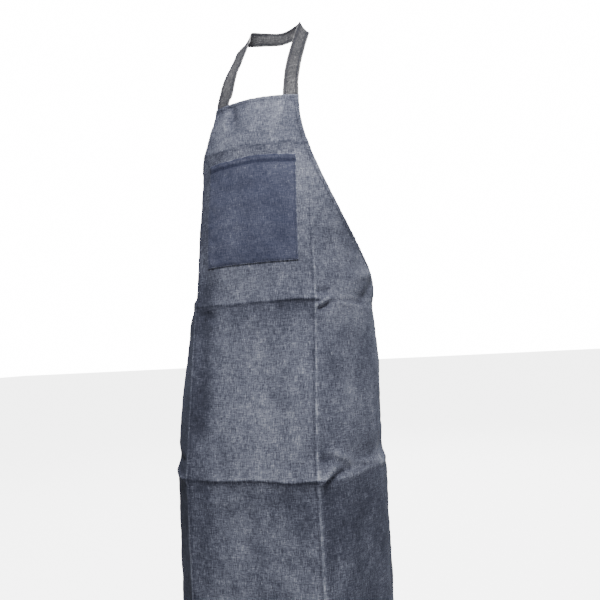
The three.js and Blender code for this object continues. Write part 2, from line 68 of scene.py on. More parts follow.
HEM, CLOTH, HEM_CLOTH = 0.012, 0.0011, 0.0026
POCKET_WIDTH, POCKET_HEIGHT, POCKET_DROP, POCKET_HEM = 0.182, 0.206, 0.136, 0.016
POCKET_CLOTH, POCKET_GAPE = 0.0018, 0.005
STRAP_WIDTH, STRAP_THICKNESS, STRAP_INSET, STRAP_SEWN = 0.032, 0.0024, 0.001, 0.038
TIE_WIDTH, TIE_THICKNESS, TIE_SEWN, TIE_SETBACK = 0.025, 0.0018, 0.026, 0.040
TAIL_LENGTH, TAIL_SPLAY, TAIL_LAYER, BOW_REACH = 0.270, math.radians(5), 0.004, 0.096
KNOT_ACROSS, KNOT_DEEP, KNOT_HIGH = 0.026, 0.020, 0.030
BIB_REACH, BIB_FALL, NECK_HALF = 0.223, 0.250, 0.069
FOLD_SIDE, FOLD_DROPS = 0.1185, (0.109, 0.414, 0.719)
STITCH_INSET, SEAM_INSET = 0.009, 0.003
LAY_GAP, SWING_GAP, SEAM_RISE = 0.0004, 0.0008, 0.008
HALF_PANEL, HALF_BIB, HALF_POCKET = PANEL_WIDTH / 2, BIB_WIDTH / 2, POCKET_WIDTH / 2
POCKET_FOOT, MOUTH_SEAM = POCKET_DROP + POCKET_HEIGHT, POCKET_DROP + POCKET_HEM - SEAM_INSET
STRAP_SIDE, TIE_DROP = HALF_BIB - STRAP_INSET - STRAP_WIDTH / 2, WAIST_DROP + 0.002 + TIE_WIDTH / 2
STRAP_CLEAR, TIE_CLEAR = 0.0027, 0.0016  # added depth that keeps their sewn ends clear of hems and puckers
APRON_PLACE = np.array([0, -BIB_REACH, -BIB_FALL])

# The body under the panel. Columns: drop, reach, bend per metre, crease and tuck in radians.
LEVELS = np.array([
    [0.000, 0.0000, 5.05, 0.00, 0.00],
    [0.125, 0.0360, 4.62, 0.04, 0.50],
    [0.320, 0.0550, 3.30, 0.38, 0.42],
    [0.372, 0.0565, 2.60, 0.42, 0.42],
    [0.450, 0.0620, 1.50, 0.56, 0.04],
    [0.719, 0.0980, 0.44, 0.63, 0.00],
    [1.016, 0.0980, 0.44, 0.63, 0.00],
])
REACH, BEND, CREASE, TUCK = 1, 2, 3, 4
FLANK_BEND, FLANK_TURN = 4.49, math.radians(99.5)
CREASE_HALF = 0.0028  # half the width over which the cloth turns at an upright crease
HANDS = ((1, "left"), (-1, "right"))


# ---- Small helpers ---------------------------------------------------
def smooth(low, high, x):
    """0 below low, 1 above high, eased between."""
    t = np.clip((x - low) / (high - low), 0, 1)
    return t * t * (3 - 2 * t)


def bell(x, width):
    return np.exp(-((x / width) ** 2))


def unit(v):
    return v / np.maximum(np.linalg.norm(v, axis=-1, keepdims=True), 1e-12)


def ripple(side, drop, length, seed, stretch=1.0):
    """A smooth random field of about that wavelength, mostly within 1. stretch draws it out downward."""
    rng = np.random.default_rng(seed)
    total = np.zeros(np.broadcast(side, drop).shape)
    for _ in range(14):
        angle, phase = rng.uniform(0, math.tau, 2)
        wave = math.tau / (length * rng.uniform(0.7, 1.5))
        across, down = math.cos(angle) * side, math.sin(angle) * drop / stretch
        total = total + np.sin(wave * (across + down) + phase)
    return total / 4


def run_along(points):
    """The distance along a line of points, at each point."""
    return np.concatenate([[0], np.cumsum(np.linalg.norm(np.diff(points, axis=0), axis=1))])


def level(drop, key):
    """A value read off the body's levels, eased from level to level without overshoot."""
    drops, values = LEVELS[:, 0], LEVELS[:, key]
    rises = np.diff(values) / np.diff(drops)
    pairs = rises[:-1] * rises[1:]
    inner = np.where(pairs > 0, 2 * pairs / np.where(pairs > 0, rises[:-1] + rises[1:], 1), 0)
    slopes = np.concatenate([rises[:1], inner, rises[-1:]])
    i = np.clip(np.searchsorted(drops, drop, side="right") - 1, 0, len(drops) - 2)
    step = drops[i + 1] - drops[i]
    u = np.clip((drop - drops[i]) / step, 0, 1)
    ends = values[i] * (2 * u**3 - 3 * u**2 + 1) + values[i + 1] * (3 * u**2 - 2 * u**3)
    return ends + step * (slopes[i] * (u**3 - 2 * u**2 + u) + slopes[i + 1] * (u**3 - u**2))


# ---- The flat pattern ------------------------------------------------
def half_width(drop):
    hollow = np.clip(1 - (np.clip(drop, 0, WAIST_DROP) / WAIST_DROP) ** ARMHOLE_HOLLOW, 0, 1)
    return HALF_PANEL - (HALF_PANEL - HALF_BIB) * np.sqrt(hollow)


def armhole_drops(count):
    """Drops from the bib's top to the waist, spaced to follow the armhole's curve."""
    return WAIST_DROP * np.sin(np.linspace(0, math.pi / 2, count)) ** (2 / ARMHOLE_HOLLOW)


ARMHOLE_DROPS = armhole_drops(260)
ARMHOLE = np.stack([half_width(ARMHOLE_DROPS), ARMHOLE_DROPS], -1)


def from_armhole(side, drop):
    """Distance in from the armhole's edge."""
    shape = np.broadcast(side, drop).shape
    points = np.stack(np.broadcast_arrays(np.abs(side), drop), -1).reshape(-1, 1, 2)
    start, along = ARMHOLE[:-1], np.diff(ARMHOLE, axis=0)
    nearest = np.full(len(points), np.inf)
    for first in range(0, len(points), 4000):
        some = points[first:first + 4000] - start
        share = np.clip((some * along).sum(-1) / (along**2).sum(-1), 0, 1)
        gaps = np.linalg.norm(some - share[..., None] * along, axis=-1)
        nearest[first:first + 4000] = gaps.min(1)
    return nearest.reshape(shape)


def from_edge(side, drop):
    """Distance in from the panel's nearest edge."""
    straight = np.minimum(np.minimum(drop, PANEL_LENGTH - drop), HALF_PANEL - np.abs(side))
    return np.maximum(np.minimum(straight, from_armhole(side, drop)), 0)


# ---- The body --------------------------------------------------------
def arc(x, y, heading, curve, length):
    """Where an arc of that curvature and length ends, and which way it heads there."""
    curve = np.where(np.abs(curve) < 1e-6, 1e-6, curve)
    end = heading + curve * length
    return x + (np.sin(end) - np.sin(heading)) / curve, y + (np.cos(heading) - np.cos(end)) / curve, end


def body(side, drop):
    """The body's surface under the cloth and its outward direction, in the row frame."""
    side, drop = np.broadcast_arrays(np.asarray(side, float), np.asarray(drop, float))
    hand, across = np.where(side < 0, -1.0, 1.0), np.abs(side)
    bend = level(drop, BEND)
    turn = level(drop, CREASE) + np.where(side < 0, level(drop, TUCK), 0)
    before = np.minimum(across, FOLD_SIDE - CREASE_HALF)
    within = np.clip(across - FOLD_SIDE + CREASE_HALF, 0, 2 * CREASE_HALF)
    beyond = np.maximum(across - FOLD_SIDE - CREASE_HALF, 0)
    x, y, heading = arc(0, 0, 0, bend, before)
    sharp = (bend + FLANK_BEND) / 2 + turn / (2 * CREASE_HALF)
    x, y, heading = arc(x, y, heading, sharp, within)
    curved = np.minimum(beyond, np.maximum(FLANK_TURN - heading, 0) / FLANK_BEND)
    x, y, heading = arc(x, y, heading, FLANK_BEND, curved)
    x, y = x + (beyond - curved) * np.cos(heading), y + (beyond - curved) * np.sin(heading)
    at = np.stack([hand * x, y - level(drop, REACH), -drop], -1) + APRON_PLACE
    outward = np.stack([hand * np.sin(heading), -np.cos(heading), np.zeros_like(heading)], -1)
    return at, outward


# ---- Folds, creases and wrinkles, as the cloth's height over the body 
# Level creases pressed into the stored cloth: drop, height, reach above, sharp and soft reach below,
# and the height's share at the wearer's right, centre, left and on the flanks.
LEVEL_CREASES = (
    (FOLD_DROPS[0], 0.0026, 0.014, 0.004, 0.014, (1.0, 0.8, 0.9, 0.5)),
    (FOLD_DROPS[1], 0.0050, 0.016, 0.0035, 0.018, (0.60, 0.8, 1.25, 0.35)),
    (FOLD_DROPS[2], 0.0086, 0.026, 0.0035, 0.030, (0.9, 1.0, 1.1, 0.6)),
)
# Short folds where the creases cross, and pulls from the seams, in millimetres on the flat pattern:
# from side, from drop, to side, to drop, half-width, height.
SHORT_FOLDS = (
    (118, 429, 149, 413, 3.6, 4.4), (121, 436, 151, 421, 4, -3.1), (119, 403, 147, 401, 7, -3.7),
    (120, 725, 154, 695, 4.2, 6.1), (137, 671, 190, 699, 4.8, 6.1), (129, 723, 184, 706, 5.5, -5.8),
    (189, 699, 310, 717, 5, 2.5), (122, 690, 141, 686, 6, -3.4), (150, 424, 290, 431, 4, 1.5),
    (41, 96, 58, 20, 8, 3.4), (-46, 6, -35, 66, 9, -4.2), (-62, 20, -55, 74, 6, 1.7),
    (92, 113, 112, 98, 4.5, -3.7), (80, 127, 85, 134, 3.5, -2.2), (-113, 428, -64, 438, 8, -2.8),
    (-128, 402, -176, 409, 6, 3.4), (-122, 723, -170, 704, 5, 5.1), (-124, 690, -185, 684, 6, -3.7),
    (-2, 491, 66, 640, 13, -1.4), (40, 470, 84, 560, 12, 1), (-80, 540, -30, 650, 14, 1),
    (335, 352, 196, 374, 9, 3.6), (332, 360, 214, 436, 10, -3.4), (328, 366, 258, 486, 12, 2.6),
    (-335, 352, -196, 374, 9, 3.6), (-332, 360, -214, 436, 10, -3.4), (-328, 366, -258, 486, 12, 2.6),
    (20, 770, 96, 742, 12, -1.6), (-90, 760, -20, 748, 10, 1.7), (60, 860, 90, 980, 16, 1.3),
)
# Long soft folds down the skirt: side and drop where each starts, half-width, height at the hem.
LONG_FOLDS = ((0.165, 0.46, 0.015, 0.0030), (0.215, 0.52, 0.018, -0.0040), (0.272, 0.42, 0.020, 0.0050),
              (0.325, 0.60, 0.016, -0.0040), (0.030, 0.60, 0.030, 0.0016), (-0.060, 0.74, 0.024, -0.0018),
              (-0.172, 0.48, 0.016, 0.0040), (-0.228, 0.44, 0.019, -0.0045), (-0.285, 0.55, 0.020, 0.0050))


def crease_share(side, shares):
    """A level crease's share of its height at one side, from its shares across the panel."""
    right, centre, left, flank = shares
    front = np.interp(side, (-FOLD_SIDE, 0, FOLD_SIDE), (right, centre, left))
    share = front + (flank - front) * smooth(FOLD_SIDE - 0.004, FOLD_SIDE + 0.030, np.abs(side))
    return share * (1 + 0.25 * ripple(side, 0 * side, 0.06, 31))


def below_crease(side, drop, crease_drop):
    """Distance below a level crease, which wanders a little."""
    return drop - crease_drop - 0.0026 * ripple(side, 0 * side, 0.08, int(crease_drop * 1000))


def level_creases(side, drop):
    height = 0
    for crease_drop, rise, above, sharp, soft, shares in LEVEL_CREASES:
        t = below_crease(side, drop, crease_drop)
        under = 0.3 * np.exp(-np.abs(t) / sharp) + 0.7 * np.exp(-np.abs(t) / soft)
        section = np.where(t < 0, np.exp(-np.abs(t) / above), under)
        height = height + rise * crease_share(side, shares) * section
    return height


def short_folds(side, drop):
    height = 0
    for side_a, drop_a, side_b, drop_b, half, rise in np.array(SHORT_FOLDS) * MM:
        along = np.array([side_b - side_a, drop_b - drop_a])
        share = ((side - side_a) * along[0] + (drop - drop_a) * along[1]) / (along**2).sum()
        off = ((side - side_a) * along[1] - (drop - drop_a) * along[0]) / math.hypot(*along)
        ends = smooth(-0.15, 0.25, share) * (1 - smooth(0.6, 1.2, share))
        height = height + rise * ends * bell(off, half * (0.7 + 0.6 * np.clip(share, 0, 1)))
    return height


def long_folds(side, drop):
    height = 0
    for centre, start, half, rise in LONG_FOLDS:
        fall = smooth(start, PANEL_LENGTH + 0.1, drop)
        line = centre + 0.004 * np.sin(drop * 9 + centre * 40)
        height = height + rise * fall * bell(side - line, half)
    return height


def upright_creases(side, drop):
    """Each upright crease's crest, the channel beside the wearer's right one, and the bib's faint ones."""
    off = np.abs(side) - FOLD_SIDE
    crest = 0.0011 * bell(off, 0.0032) * smooth(0.27, 0.36, drop) * (1 + 0.4 * ripple(side, drop, 0.05, 5, 2))
    channel = -0.0024 * bell(side + 0.095, 0.010) * smooth(0.33, 0.38, drop) * (1 - smooth(0.58, 0.70, drop))
    faint = 0.0006 * bell(off, 0.004) * smooth(0.15, 0.20, drop) * (1 - smooth(0.27, 0.36, drop))
    return crest + channel + faint


def pinched_flanks(side, drop):
    """The flanks draw in just above each level crease."""
    out = np.abs(side)
    deep = np.where(side < 0, 0.0100, 0.0060)
    lower = -deep * bell(drop - 0.700, 0.026) * smooth(0.150, 0.235, out)
    upper = -0.0035 * bell(drop - 0.412, 0.016) * smooth(0.150, 0.235, out)
    return lower + upper


def hem_relief(side, drop, inset):
    """The turned hem: full at the edge, drawn down at its stitches, puckered along them."""
    full = 0.0005 * np.sin(math.pi * np.clip(inset / STITCH_INSET, 0, 1))
    groove = -0.0004 * bell(inset - STITCH_INSET, 0.0014)
    pucker = 0.00045 * ripple(side, drop, 0.011, 7) * (1 - smooth(0.010, 0.019, inset))
    step = -0.0004 * smooth(HEM - 0.001, HEM + 0.002, inset) * (1 - smooth(0.020, 0.034, inset))
    return full + groove + pucker + step


def strap_print(side, drop):
    """The bib stands a little proud where a strap is sewn behind it."""
    off = np.abs(np.abs(side) - STRAP_SIDE) - STRAP_WIDTH / 2
    within, above = 1 - smooth(-0.002, 0.002, off), 1 - smooth(STRAP_SEWN - 0.002, STRAP_SEWN + 0.003, drop)
    return 0.0009 * within * above


def slack(side, drop):
    """Unevenness of hanging cloth, less under the pocket."""
    free = 1 - 0.6 * (np.abs(side) < HALF_POCKET) * bell(drop - POCKET_DROP - POCKET_HEIGHT / 2, 0.11)
    broad = 0.0017 * ripple(side, drop, 0.13, 11, 1.8)
    small = 0.00042 * ripple(side, drop, 0.034, 12, 1.5) + 0.00012 * ripple(side, drop, 0.016, 13)
    return free * smooth(0.0, 0.05, drop) * (broad + small) + 0.0002 * ripple(side, drop, 0.020, 14)


def relief(side, drop, inset=None):
    side, drop = np.broadcast_arrays(np.asarray(side, float), np.asarray(drop, float))
    inset = from_edge(side, drop) if inset is None else inset
    folds = level_creases(side, drop) + short_folds(side, drop) + long_folds(side, drop)
    shape = upright_creases(side, drop) + pinched_flanks(side, drop) + slack(side, drop)
    return folds + shape + hem_relief(side, drop, inset) + strap_print(side, drop)


def on_cloth(side, drop, lift=0.0):
    """A point of the panel's face, raised by lift."""
    at, outward = body(side, drop)
    return at + outward * (relief(side, drop) + lift)[..., None]


# ---- Mesh making -----------------------------------------------------
def add_object(name, data):
    made = bpy.data.objects.new(name, data)
    bpy.context.scene.collection.objects.link(made)
    return made


def make_object(name, points, faces, materials):
    """A smooth-shaded mesh in the scene."""
    mesh = bpy.data.meshes.new(name)
    mesh.from_pydata(np.asarray(points).reshape(-1, 3).tolist(), [], faces)
    for material in materials:
        mesh.materials.append(material)
    mesh.polygons.foreach_set("use_smooth", [True] * len(mesh.polygons))
    return add_object(name, mesh)


def make_cloth(name, points, faces, materials, places, wear_and_painted_light):
    """A mesh with what the cloth materials read: its flat-pattern places, and its wear together with painted
    light and shade.
    """
    made = make_object(name, points, faces, materials)
    attributes = made.data.attributes
    attributes.new("flat", "FLOAT_VECTOR", "POINT").data.foreach_set("vector", places.ravel())
    attributes.new("wear_and_painted_light", "FLOAT", "POINT").data.foreach_set("value", wear_and_painted_light.ravel())
    return made


def closed_sheet(name, front, back, places, wear_and_painted_light, materials):
    """A closed sheet between two grids of points (rows down, columns to the right as its front is seen)."""
    rows, cols = front.shape[:2]
    grid = np.arange(rows * cols).reshape(rows, cols)
    a, b, c, d = grid[:-1, :-1], grid[1:, :-1], grid[1:, 1:], grid[:-1, 1:]
    face = np.stack([a, b, c, d], -1).reshape(-1, 4)
    under = face[:, ::-1] + rows * cols
    rim = np.concatenate([grid[:-1, 0], grid[-1, :-1], grid[:0:-1, -1], grid[0, :0:-1]])
    following = np.roll(rim, -1)
    edge = np.stack([following, rim, rim + rows * cols, following + rows * cols], -1)
    points = np.concatenate([front.reshape(-1, 3), back.reshape(-1, 3)])
    made = make_cloth(name, points, np.concatenate([face, under, edge]).tolist(), materials,
                      np.concatenate([places.reshape(-1, 3)] * 2), np.concatenate([wear_and_painted_light.ravel()] * 2))
    used = np.repeat([0, len(materials) - 1, 0], [len(face), len(under), len(edge)])
    made.data.polygons.foreach_set("material_index", used)
    return made


def flat_places(side, drop):
    side, drop = np.broadcast_arrays(side, drop)
    return np.stack([side, drop, 0 * side], -1)


def rounded(inset, thickness):
    """Half the thickness of cloth whose edge is rounded off, at a distance in from that edge."""
    short = np.clip(1 - inset / (0.6 * thickness), 0, 1)
    return thickness / 2 * np.maximum(np.sqrt(1 - short**2), 0.3)


def graded(start, end, count, centres, reach):
    """Values from start to end, closer together near the centres."""
    fine = np.linspace(start, end, 4000)
    density = 1 + sum(1.8 * bell(fine - centre, reach) for centre in centres)
    total = np.concatenate([[0], np.cumsum((density[1:] + density[:-1]) / 2)])
    return np.interp(np.linspace(0, total[-1], count), total, fine)


EDGE_STEPS = np.array([0, 0.4, 1.1, 2.4, 4.5, 7.0, 8.8, 10.4, 12.0, 13.4]) * MM


def panel_rows():
    upper = armhole_drops(112)
    lower = graded(WAIST_DROP, PANEL_LENGTH, 166, FOLD_DROPS[1:], 0.016)
    last_edge = EDGE_STEPS[-1] + 0.001
    upper = upper[upper > last_edge]
    lower = lower[(lower > WAIST_DROP) & (lower < PANEL_LENGTH - last_edge)]
    return np.concatenate([EDGE_STEPS, upper, lower, PANEL_LENGTH - EDGE_STEPS[::-1]])


def panel_columns(edge):
    """One row's sides, edge to edge. A column each side follows the upright crease where the row has room."""
    crease = min(FOLD_SIDE, edge * 0.78)
    front = graded(0, crease, 36, (crease,), 0.010)
    hem = edge - EDGE_STEPS[::-1] * min(1, 0.5 * (edge - crease) / EDGE_STEPS[-1])
    flank = graded(crease, hem[0], 32, (crease,), 0.014)
    half = np.concatenate([front, flank[1:-1], hem])
    return np.concatenate([-half[:0:-1], half])


def painted_side_shade(side, drop):
    """Painted shade: how much darker the cloth is made on the wearer's right side and on the low flanks,
    which turn away from the light.
    """
    right_side = smooth(0.045, 0.100, -side) * (0.6 + 0.4 * smooth(0.10, 0.17, drop))
    low_flank = smooth(FOLD_SIDE, FOLD_SIDE + 0.010, np.abs(side)) * smooth(0.715, 0.735, drop)
    right_flank = smooth(FOLD_SIDE, FOLD_SIDE + 0.004, -side)
    return 0.45 * right_side + 0.50 * low_flank + 0.45 * right_flank


def painted_crease_light_and_shade(side, drop):
    """Painted light and shade at each level crease: a painted shadow line under it on the front, painted
    shade below it, a painted highlight line on the flanks, and a painted highlight above it on the front.
    """
    on_flank = smooth(FOLD_SIDE, FOLD_SIDE + 0.02, np.abs(side))
    wear_and_painted_light = 0
    for crease_drop, rise, *_, shares in LEVEL_CREASES:
        t = below_crease(side, drop, crease_drop)
        # Painted highlight line along the crease on the flanks, painted shadow line under it on the front,
        # and painted shade below it.
        pale = 0.30 * on_flank * bell(t + 0.001, 0.0028)
        dark = 0.50 * (1 - on_flank) * bell(t - 0.0022, 0.0024)
        shade = 0.16 * smooth(-0.001, 0.004, t) * np.exp(-np.maximum(t, 0) / 0.018)
        # Painted highlight above the crease on the front, stronger where the crease stands higher.
        crest = smooth(0.001, -0.003, t) * np.exp(np.minimum(t, 0) / 0.016)
        wear_and_highlight = 34 * rise * crest * (1 - on_flank)
        wear_and_painted_light = wear_and_painted_light + crease_share(side, shares) * (pale - dark - shade + wear_and_highlight)
    return wear_and_painted_light


def panel_wear_highlight_and_shade(side, drop, inset):
    """Pale where dye has worn off the ridges and edges, which also carry a painted highlight; darker where
    dye is kept at the stitched hem. Painted shade on the wearer's right side, the low flanks, beside the
    upright creases and in the channel, and painted light and shade at the folds and creases.
    """
    wear_and_highlight = 0.75 + 0.5 * ripple(side, drop, 0.018, 21, 1.5)
    off = np.abs(side) - FOLD_SIDE
    # A pale line on each upright crease's ridge: partly wear, partly a painted highlight.
    ridge = bell(off - 0.0005, 0.0019) * smooth(0.285, 0.345, drop)
    # Painted shade along the inner side of each upright crease.
    beside = bell(off + 0.0035, 0.0022) * smooth(0.15, 0.22, drop)
    # Pale edges: partly wear, partly a painted edge highlight.
    edge = 1 - smooth(0.0004, 0.0020, inset)
    stitched = bell(inset - STITCH_INSET, 0.0016)
    hem = smooth(0.001, 0.003, inset) * (1 - smooth(HEM - 0.001, HEM + 0.001, inset))
    # Painted shade in the channel beside the wearer's right upright crease.
    channel = bell(side + 0.096, 0.017) * smooth(0.34, 0.40, drop) * (1 - smooth(0.60, 0.72, drop))
    pale = 0.60 * wear_and_highlight * ridge + 0.62 * wear_and_highlight * edge
    dark = painted_side_shade(side, drop) + 0.34 * beside + 0.26 * stitched + 0.05 * hem + 0.34 * channel
    # Painted light and shade from the short folds: paler where they stand up, darker where they sink.
    folds = np.clip(80 * short_folds(side, drop), -0.5, 0.5)
    return pale - dark + painted_crease_light_and_shade(side, drop) + folds


def make_panel(materials):
    drops = panel_rows()
    side = np.stack([panel_columns(float(half_width(drop))) for drop in drops])
    drop = np.broadcast_to(drops[:, None], side.shape)
    inset = from_edge(side, drop)
    at, outward = body(side, drop)
    face = at + outward * relief(side, drop, inset)[..., None]
    thickness = HEM_CLOTH + (CLOTH - HEM_CLOTH) * smooth(HEM, HEM + 0.0015, inset)
    half = rounded(inset, thickness)
    front = face - outward * (thickness / 2 - half)[..., None]
    back = face - outward * (thickness / 2 + half)[..., None]
    wear_and_painted_light = panel_wear_highlight_and_shade(side, drop, inset)
    return closed_sheet("denim_panel", front, back, flat_places(side, drop), wear_and_painted_light, materials)


def pocket_lift(side, drop):
    across = np.maximum(1 - (side / HALF_POCKET) ** 2, 0)
    upward = np.maximum(1 - ((drop - POCKET_DROP) / POCKET_HEIGHT) ** 2, 0)
    wave = 1 + 0.22 * np.sin(side * 62 + 0.6)
    return LAY_GAP + POCKET_GAPE * across * upward * wave


def pocket_inset(side, drop):
    down = np.minimum(drop - POCKET_DROP, POCKET_FOOT - drop)
    return np.maximum(np.minimum(down, HALF_POCKET - np.abs(side)), 0)


def pocket_relief(side, drop):
    """The patch is full between its seams, with a turned mouth and puckers along the stitches."""
    inset = pocket_inset(side, drop)
    below_mouth = drop - POCKET_DROP
    sewn = inset * (below_mouth > inset + 0.001) + (below_mouth <= inset + 0.001) * 0.02
    seam = -0.0005 * bell(sewn - SEAM_INSET, 0.0011) + 0.0004 * bell(sewn - 0.0065, 0.003)
    mouth = -0.0006 * bell(drop - MOUTH_SEAM, 0.0012) + 0.0009 * bell(below_mouth - 0.006, 0.006)
    pucker = 0.0004 * ripple(side, drop, 0.010, 41) * (1 - smooth(0.005, 0.016, inset))
    dent = -0.0012 * bell(drop - 0.300, 0.003) * smooth(0.058, 0.072, side)
    slack_patch = dent + 0.0006 * ripple(side, drop, 0.05, 42)
    return seam + mouth + pucker + slack_patch * smooth(0, 0.01, inset)


def on_pocket(side, drop, lift=0.0):
    """A point of the pocket's face, raised by lift."""
    raised = np.maximum(pocket_lift(side, drop) + pocket_relief(side, drop), 0.0003) + POCKET_CLOTH
    at, outward = body(side, drop)
    return at + outward * (relief(side, drop) + raised + lift)[..., None]


def make_pocket(material):
    edge, inner = EDGE_STEPS[:6], 0.0085
    down = np.linspace(POCKET_DROP + inner, POCKET_FOOT - inner, 66)
    across = np.linspace(inner - HALF_POCKET, HALF_POCKET - inner, 58)
    drops = np.concatenate([POCKET_DROP + edge, down, POCKET_FOOT - edge[::-1]])
    sides = np.concatenate([edge - HALF_POCKET, across, HALF_POCKET - edge[::-1]])
    side, drop = np.meshgrid(sides, drops)
    inset = pocket_inset(side, drop)
    face, (_, outward) = on_pocket(side, drop), body(side, drop)
    half_thick = rounded(inset, POCKET_CLOTH)
    front = face - outward * (POCKET_CLOTH / 2 - half_thick)[..., None]
    back = face - outward * (POCKET_CLOTH / 2 + half_thick)[..., None]
    # Pale edges: partly wear, partly a painted edge highlight.
    wear_and_highlight = 0.75 + 0.5 * ripple(side, drop, 0.015, 43)
    wear_and_painted_light = 0.60 * wear_and_highlight * (1 - smooth(0.0003, 0.0018, inset)) - 0.35 * bell(inset - SEAM_INSET, 0.0014)
    wear_and_painted_light = wear_and_painted_light - 0.95 * bell(drop - MOUTH_SEAM, 0.0024)
    return closed_sheet("patch_pocket", front, back, flat_places(side, drop), wear_and_painted_light, [material])


# ---- Stitches --------------------------------------------------------
STITCH_LENGTH, STITCH_PITCH, STITCH_WIDTH = 0.0033, 0.0046, 0.0009
# A stitch's rings: place along it, size and height, in lengths and half-widths of the stitch.
STITCH_RINGS = np.array([
    (-0.5, 0.2, -0.55), (-0.38, 0.85, -0.1), (0, 1.0, 0.25), (0.38, 0.85, -0.1), (0.5, 0.2, -0.55),
])
RING_SIDES = 6
TACK_TOP, TACK_FOOT = POCKET_DROP + 0.0015, POCKET_DROP + 0.010  # the pocket's bar tacks


def spaced(path, pitch):
    """Points at an even pitch along a path, and the direction along it at each."""
    path = np.asarray(path, float)
    run = run_along(path[:, :3])
    count = max(int(run[-1] / pitch), 2)
    places = (np.arange(count) + 0.5) * run[-1] / count

    def read(where):
        return np.stack([np.interp(where, run, column) for column in path.T], -1)

    return read(places), read(places + pitch / 4) - read(places - pitch / 4)


def make_stitches(name, centres, along, up, material):
    """One short rounded thread at each centre, dipping into the cloth at both ends."""
    along = unit(along)
    up = unit(up - (up * along).sum(-1, keepdims=True) * along)
    across = np.cross(up, along)
    place, size, raised = STITCH_RINGS.T
    turns = np.arange(RING_SIDES) / RING_SIDES * math.tau
    run = np.repeat(place * STITCH_LENGTH, RING_SIDES)
    wide = np.outer(size, np.cos(turns)).ravel() * STITCH_WIDTH / 2
    high = (np.outer(size, np.sin(turns)) + raised[:, None]).ravel() * STITCH_WIDTH / 2
    each = (run[None, :, None] * along[:, None] + wide[None, :, None] * across[:, None]
            + high[None, :, None] * up[:, None] + centres[:, None])
    ring = np.arange(len(run)).reshape(-1, RING_SIDES)
    following = np.roll(ring, -1, 1)
    tube = np.stack([ring[:-1], following[:-1], following[1:], ring[1:]], -1).reshape(-1, 4).tolist()
    one = tube + [ring[0, ::-1].tolist(), ring[-1].tolist()]
    faces = [[i + len(run) * n for i in face] for n in range(len(centres)) for face in one]
    return make_object(name, each, faces, [material])


def sewn_line(name, node, path, surface, material):
    """A line of stitches along a path of (side, drop) places, standing for one CAD thread."""
    at, along = spaced(path, STITCH_PITCH)
    step = unit(along) * 0.0008
    centres = surface(*at.T, 0.0001)
    run = surface(*(at + step).T) - surface(*(at - step).T)
    _, outward = body(*at.T)
    made = make_stitches(name, centres, run, outward, material)
    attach(made, "apron")
    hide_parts(node)
    return made


def inset_armhole(inset, top, last_side):
    """The armhole's outline moved inward, from drop top to side last_side."""
    along = np.gradient(ARMHOLE, axis=0)
    inward = unit(np.stack([-along[:, 1], along[:, 0]], -1))
    moved = ARMHOLE + inward * inset
    return moved[(moved[:, 1] > top) & (moved[:, 0] < last_side)]


def box_path(side_a, side_b, top, bottom):
    return [(side_a, top), (side_a, bottom), (side_b, bottom), (side_b, top), (side_a, top)]


def sew_middle(material):
    """The bib's and the bottom hem's lines, and the pocket's."""
    bib_edge = float(half_width(STITCH_INSET)) - STITCH_INSET
    hem_edge, lowest = HALF_PANEL - STITCH_INSET, PANEL_LENGTH - STITCH_INSET
    seam, foot, seam_top = HALF_POCKET - SEAM_INSET, POCKET_FOOT - SEAM_INSET, TACK_FOOT + 0.002
    bib = [(-bib_edge, STITCH_INSET), (bib_edge, STITCH_INSET)]
    sewn_line("bib_stitches", "bib_hem_stitching", bib, on_cloth, material)
    bottom = [(-hem_edge, lowest), (hem_edge, lowest)]
    sewn_line("hem_stitches", "bottom_hem_stitching", bottom, on_cloth, material)
    mouth = [(-seam, MOUTH_SEAM), (seam, MOUTH_SEAM)]
    sewn_line("pocket_mouth_stitches", "pocket_mouth_stitching", mouth, on_pocket, material)
    around = [(-seam, seam_top), (-seam, foot), (seam, foot), (seam, seam_top)]
    sewn_line("pocket_seam_stitches", "pocket_seam_stitching", around, on_pocket, material)


def sew_side(hand, word, material):
    """One side's armhole, side hem and pocket tack, and the boxes that hold the strap and the tie."""
    corner, hem_edge = STITCH_INSET + 0.002, hand * (HALF_PANEL - STITCH_INSET)
    curve = inset_armhole(STITCH_INSET, corner, HALF_PANEL - TIE_SEWN) * (hand, 1)
    sewn_line(f"armhole_stitches_{word}", f"armhole_stitching_{word}", curve, on_cloth, material)
    edge = [(hem_edge, WAIST_DROP + corner), (hem_edge, PANEL_LENGTH - STITCH_INSET - 0.002)]
    sewn_line(f"side_stitches_{word}", f"side_hem_stitching_{word}", edge, on_cloth, material)
    outer, inner = hand * (HALF_POCKET - SEAM_INSET), hand * (HALF_POCKET - SEAM_INSET - 0.0012)
    tack = [(outer, TACK_TOP), (outer, TACK_FOOT), (inner, TACK_FOOT), (inner, TACK_TOP)]
    sewn_line(f"pocket_bar_tack_{word}", f"pocket_tack_{word}", tack, on_pocket, material)
    strap_box = box_path(hand * (STRAP_SIDE - 0.010), hand * (STRAP_SIDE + 0.004), 0.014, 0.032)
    sewn_line(f"strap_stitches_{word}", f"strap_tack_{word}", strap_box, on_cloth, material)
    tie_box = box_path(hand * (HALF_PANEL - TIE_SEWN + 0.004), hand * (HALF_PANEL - 0.013),
                       TIE_DROP - 0.008, TIE_DROP + 0.008)
    sewn_line(f"tie_stitches_{word}", f"tie_tack_{word}", tie_box, on_cloth, material)


# ---- Tapes -----------------------------------------------------------
TAPE_SEAM = 0.0055  # how far in from its edge a tape is sewn


